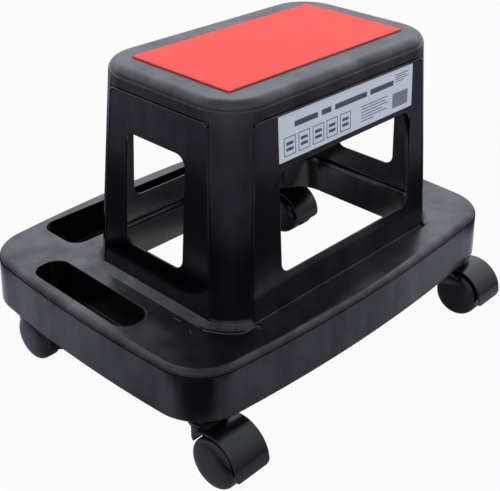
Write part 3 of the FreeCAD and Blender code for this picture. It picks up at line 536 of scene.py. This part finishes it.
# Caster housings: black nylon hood with a centre web and a turret round the stem.
# Moulded in two tool halves that meet down the middle of the hood.
corners = ("front_left", "front_right", "rear_left", "rear_right")
nylon_dark, nylon_light = (0.0024, 0.0024, 0.003), (0.004, 0.004, 0.005)
nylon_grain = 1800.0
nylon_gloss = (0.20, 0.30)
nylon_sheen = 0.42
hood_round = 0.0004
hood_radius = 0.0310
seam_size = 0.00022
seam_sides = 6
seam_start, seam_stop = math.radians(118), math.radians(184)
seam_steps = 16
nylon, links, shader, add, normal, patch = moulded_black(
    "caster_nylon_black", nylon_dark, nylon_light, nylon_grain)
links.new(normal, shader.inputs["Normal"])
links.new(spread(add, links, patch, *nylon_gloss), shader.inputs["Roughness"])
shader.inputs["Specular IOR Level"].default_value = nylon_sheen


def middle_of(node_name):
    """Middle of a node's box."""
    low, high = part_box(node_name)
    return [(low[k] + high[k]) / 2 for k in range(3)]


for corner in corners:
    hood_mesh = joined_mesh("caster_housing_" + corner, "caster_hood_" + corner, nylon)
    hood = eased(hood_mesh, "caster_hood_" + corner, hood_round)
    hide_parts("caster_housing_" + corner)
    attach(hood, "swivel_" + corner)
    seam_x = middle_of("caster_stem_" + corner)[0]
    _, axle_y, axle_z = middle_of("caster_axle_" + corner)
    seam = []
    for step in range(seam_steps + 1):
        turn = seam_start + (seam_stop - seam_start) * step / seam_steps
        seam.append((seam_x, axle_y + hood_radius * math.cos(turn),
                     axle_z + hood_radius * math.sin(turn)))
    work = bmesh.new()
    strand(work, seam, [seam_size] * len(seam), sides=seam_sides)
    seam_line = as_piece(work, "caster_hood_seam_" + corner, nylon)
    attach(seam_line, "swivel_" + corner)

# Caster stems, grip rings and axles: turned steel with bright zinc plating.
# The stem sits in the socket under the deck and the axle is pressed through the web.
steel_dark, steel_light = (0.56, 0.57, 0.58), (0.68, 0.69, 0.70)
turning_pull = (0.05, 0.05, 6.0)
steel, links, shader, add, place = uneven("plated_steel", steel_dark, steel_light, grain=300.0,
                                          dull=(0.22, 0.38), dull_grain=180.0, detail=3.0,
                                          rough=0.5)
turned = clouds(add, links, place, scale=600.0, detail=2.0, stretch=turning_pull)
links.new(raised(add, links, turned, strength=0.15, depth=0.0001), shader.inputs["Normal"])
shader.inputs["Metallic"].default_value = 1.0
for name, node in nodes.items():
    if name.startswith(("caster_stem", "caster_axle", "stem_grip_ring")):
        node.data.materials[0] = steel

# Caster wheels: two to a caster, moulded in black nylon and domed on the outer side.
# Each turns by itself on the axle; the inner side is hollow between hub and rim.
wheel_radius = 0.025
wheel_inner, wheel_edge, wheel_crown = 0.0042, 0.0155, 0.0242
bore_end, bore_radius = 0.0146, 0.00308
hollow_end, hub_radius, rim_inside = 0.0122, 0.008, 0.021
tread_round = ((0.0, 0.0243), (0.0003, 0.0248), (0.0009, wheel_radius))
dome_steps = 24
dome_rise, dome_fall = 0.92, 0.62
wheel_facets = 72
on_axis = 1e-6
wheel_edge_angle = math.radians(35)


def wheel_profile():
    """Half section of a wheel as (along the axle, radius), inside first."""
    profile = [(bore_end, 0.0), (bore_end, bore_radius), (wheel_inner, bore_radius),
               (wheel_inner, hub_radius), (hollow_end, hub_radius), (hollow_end, rim_inside),
               (wheel_inner, rim_inside)]
    profile += [(wheel_inner + along, radius) for along, radius in tread_round]
    for step in range(dome_steps + 1):
        turn = math.pi / 2 * step / dome_steps
        along = wheel_edge + (wheel_crown - wheel_edge) * math.sin(turn) ** dome_rise
        profile.append((along, wheel_radius * math.cos(turn) ** dome_fall))
    return profile


def turned_wheel(centre, sign):
    """The wheel's half section turned about the axle, domed to the side that sign gives."""
    work = bmesh.new()
    loops = []
    for along, radius in wheel_profile():
        if radius < on_axis:
            loops.append([work.verts.new(centre + Vector((sign * along, 0, 0)))])
            continue
        loop = []
        for k in range(wheel_facets):
            turn = 2 * math.pi * k / wheel_facets
            spot = Vector((sign * along, radius * math.cos(turn), radius * math.sin(turn)))
            loop.append(work.verts.new(centre + spot))
        loops.append(loop)
    for one, two in zip(loops, loops[1:]):
        for k in range(wheel_facets):
            after = (k + 1) % wheel_facets
            if len(one) == 1:
                work.faces.new((one[0], two[after], two[k]))
            elif len(two) == 1:
                work.faces.new((one[k], one[after], two[0]))
            else:
                work.faces.new((one[k], one[after], two[after], two[k]))
    return work


for corner in corners:
    for wing, sign in (("a", -1), ("b", 1)):
        node_name = "wheel_%s_%s" % (wing, corner)
        _, wheel_y, wheel_z = middle_of(node_name)
        centre = Vector((middle_of("caster_stem_" + corner)[0], wheel_y, wheel_z))
        wheel = as_piece(turned_wheel(centre, sign), "caster_" + node_name, nylon)
        wheel.data.set_sharp_from_angle(angle=wheel_edge_angle)
        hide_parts(node_name)
        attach(wheel, node_name)

# Studio floor: plain white, with a faint shadow of the object on it.
# The camera, mirrors and glass see it white; soft light bounces off it as off paper.
floor_reach = 12.0
floor_glow = 0.95
floor_grey = (0.7, 0.7, 0.7, 1.0)
paper_white = (0.9, 0.9, 0.9, 1.0)
matt = 0.9
floor_mesh = bpy.data.meshes.new("studio_floor")
floor_mesh.from_pydata([(-floor_reach, -floor_reach, 0), (floor_reach, -floor_reach, 0),
                        (floor_reach, floor_reach, 0), (-floor_reach, floor_reach, 0)],
                       [], [(0, 1, 2, 3)])
floor = bpy.data.objects.new("studio_floor", floor_mesh)
bpy.context.scene.collection.objects.link(floor)
floor_white, links, shader, add = new_material("floor_white")
shader.inputs["Base Color"].default_value = floor_grey
shader.inputs["Roughness"].default_value = matt
shader.inputs["Specular IOR Level"].default_value = 0.0
paper = add("ShaderNodeBsdfDiffuse", Color=paper_white)
glow = add("ShaderNodeEmission", Strength=1.0)
white = add("ShaderNodeMixShader", Fac=floor_glow)
links.new(paper.outputs["BSDF"], white.inputs[1])
links.new(glow.outputs["Emission"], white.inputs[2])
ray = add("ShaderNodeLightPath")
seen = ray.outputs["Is Camera Ray"]
for kind in ("Is Glossy Ray", "Is Transmission Ray"):
    either = add("ShaderNodeMath", operation="MAXIMUM")
    links.new(seen, either.inputs[0])
    links.new(ray.outputs[kind], either.inputs[1])
    seen = either.outputs["Value"]
whiten = add("ShaderNodeMixShader")
links.new(seen, whiten.inputs["Fac"])
links.new(shader.outputs["BSDF"], whiten.inputs[1])
links.new(white.outputs["Shader"], whiten.inputs[2])
surface = floor_white.node_tree.nodes["Material Output"].inputs["Surface"]
links.new(whiten.outputs["Shader"], surface)
floor_mesh.materials.append(floor_white)

# Studio card: round dark card lying about the object, hidden from the camera.
# Reflections meet it before the floor, which keeps the upright black walls dark.
# It is pale close round the base and open under the seat.
card_radius = 1.70
card_middle = (-0.045, 0.045)
card_level = 0.0004
card_hole = (0.115, 0.065)
card_sides = 96
card_tint = (0.99, 0.97, 1.06)
card_shades = ((0.0, 0.62), (0.13, 0.62), (0.175, 0.05), (0.40, 0.04), (0.52, 0.10), (1.0, 0.10))
base_half = (0.228, 0.171, 0.0)
dark_inner, dark_outer = 0.70, 0.80
outer_pale = (0.30, 0.285, 0.335)
shade_middle = (-0.39, -0.27, 0.0)
shade_inner, shade_outer = 0.12, 0.20
shade_dark = (0.10, 0.095, 0.11)


def set_stops(ramp, levels, tint):
    """Colour stops along a ramp, from its start to its end."""
    for place, level in levels:
        ends = {0.0: 0, 1.0: -1}
        stop = ramp.elements[ends[place]] if place in ends else ramp.elements.new(place)
        stop.color = (tint[0] * level, tint[1] * level, tint[2] * level, 1.0)


card_spots = []
for side in range(card_sides):
    turn = 2 * math.pi * side / card_sides
    card_spots.append((card_middle[0] + card_radius * math.cos(turn),
                       card_middle[1] + card_radius * math.sin(turn), card_level))
    card_spots.append((card_hole[0] * math.cos(turn), stool_y + card_hole[1] * math.sin(turn),
                       card_level))
card_faces = []
for side in range(card_sides):
    here, after = 2 * side, 2 * ((side + 1) % card_sides)
    card_faces.append((here, after, after + 1, here + 1))
card_mesh = bpy.data.meshes.new("studio_card")
card_mesh.from_pydata(card_spots, [], card_faces)
card = bpy.data.objects.new("studio_card", card_mesh)
bpy.context.scene.collection.objects.link(card)
card.visible_camera = False
card.visible_shadow = False
card_grey, links, shader, add = new_material("card_grey")
spot = add("ShaderNodeTexCoord").outputs["Object"]
folded = add("ShaderNodeVectorMath", operation="ABSOLUTE")
links.new(spot, folded.inputs[0])
beyond = add("ShaderNodeVectorMath", operation="SUBTRACT")
links.new(folded.outputs["Vector"], beyond.inputs[0])
beyond.inputs[1].default_value = base_half
outside_base = add("ShaderNodeVectorMath", operation="MAXIMUM")
links.new(beyond.outputs["Vector"], outside_base.inputs[0])
away = add("ShaderNodeVectorMath", operation="LENGTH")
links.new(outside_base.outputs["Vector"], away.inputs[0])
graded = add("ShaderNodeValToRGB")
links.new(away.outputs["Value"], graded.inputs["Fac"])
set_stops(graded.color_ramp, card_shades, card_tint)


def away_from(middle, near, far):
    """0 inside the near distance from a spot on the card, 1 beyond the far one."""
    distance = add("ShaderNodeVectorMath", operation="DISTANCE")
    links.new(spot, distance.inputs[0])
    distance.inputs[1].default_value = middle
    soft = add("ShaderNodeMapRange", interpolation_type="SMOOTHSTEP")
    soft.inputs["From Min"].default_value = near
    soft.inputs["From Max"].default_value = far
    links.new(distance.outputs["Value"], soft.inputs["Value"])
    return soft.outputs["Result"]


paled = add("ShaderNodeMix", data_type="RGBA")
paled.inputs[7].default_value = (*outer_pale, 1.0)
links.new(graded.outputs["Color"], paled.inputs[6])
links.new(away_from((*card_middle, 0.0), dark_inner, dark_outer), paled.inputs["Factor"])
shaded = add("ShaderNodeMix", data_type="RGBA")
shaded.inputs[6].default_value = (*shade_dark, 1.0)
links.new(paled.outputs[2], shaded.inputs[7])
links.new(away_from(shade_middle, shade_inner, shade_outer), shaded.inputs["Factor"])
links.new(shaded.outputs[2], shader.inputs["Base Color"])
shader.inputs["Roughness"].default_value = matt
shader.inputs["Specular IOR Level"].default_value = 0.0
card_mesh.materials.append(card_grey)

# Light tent: white cloth all round and over the object, lit from outside.
# It is brightest in a band above the horizon and behind the object.
tent_strength = 2.1
tent_tint = (0.94, 0.98, 1.1)
tent_levels = ((0.0, 0.42), (0.10, 0.46), (0.26, 0.58), (0.42, 0.92), (0.57, 1.03), (0.71, 1.0),
               (0.82, 0.85), (1.0, 0.70))
tent_front, tent_back = 0.46, 0.95
turn_start, turn_end = -0.2, 1.0
world = bpy.data.worlds.new("studio_surround")
bpy.context.scene.world = world
world.use_nodes = True
tree = world.node_tree
tent = tree.nodes["Background"]
tent.inputs["Strength"].default_value = tent_strength
direction = tree.nodes.new("ShaderNodeTexCoord")
parts = tree.nodes.new("ShaderNodeSeparateXYZ")
tree.links.new(direction.outputs["Generated"], parts.inputs["Vector"])
bands = tree.nodes.new("ShaderNodeValToRGB")
tree.links.new(parts.outputs["Z"], bands.inputs["Fac"])
set_stops(bands.color_ramp, tent_levels, tent_tint)
rearward = tree.nodes.new("ShaderNodeMath")
tree.links.new(parts.outputs["X"], rearward.inputs[0])
tree.links.new(parts.outputs["Y"], rearward.inputs[1])
share = tree.nodes.new("ShaderNodeMapRange")
share.inputs["From Min"].default_value = turn_start
share.inputs["From Max"].default_value = turn_end
share.inputs["To Min"].default_value = tent_front
share.inputs["To Max"].default_value = tent_back
tree.links.new(rearward.outputs["Value"], share.inputs["Value"])
dimmed = tree.nodes.new("ShaderNodeVectorMath")
dimmed.operation = "SCALE"
tree.links.new(bands.outputs["Color"], dimmed.inputs["Vector"])
tree.links.new(share.outputs["Result"], dimmed.inputs["Scale"])
tree.links.new(dimmed.outputs["Vector"], tent.inputs["Color"])

# Camera: stands at the photograph's viewing angle, three quarters from above.
# Its place, tilt and lens are those fitted to the photograph.
camera_place = (-0.6176, -0.5854, 0.5932)
azimuth, elevation, roll = (math.radians(v) for v in (-46.338, 29.731, 0.518))
lens_long, sensor_wide = 67.4, 36.0
shift_across, shift_up = -0.0023, -0.0192
back = Vector((math.sin(azimuth) * math.cos(elevation),
               -math.cos(azimuth) * math.cos(elevation), math.sin(elevation)))
level = Vector((math.cos(azimuth), math.sin(azimuth), 0.0))
upright = back.cross(level)
right = level * math.cos(roll) + upright * math.sin(roll)
up = upright * math.cos(roll) - level * math.sin(roll)
lens = bpy.data.cameras.new("photo_camera")
lens.sensor_width = sensor_wide
lens.lens = lens_long
lens.shift_x = shift_across
lens.shift_y = shift_up
camera = bpy.data.objects.new("photo_camera", lens)
aimed = Matrix((right, up, back)).transposed().to_4x4()
camera.matrix_world = Matrix.Translation(camera_place) @ aimed
bpy.context.scene.collection.objects.link(camera)
bpy.context.scene.camera = camera
bpy.context.scene.view_settings.view_transform = "Standard"
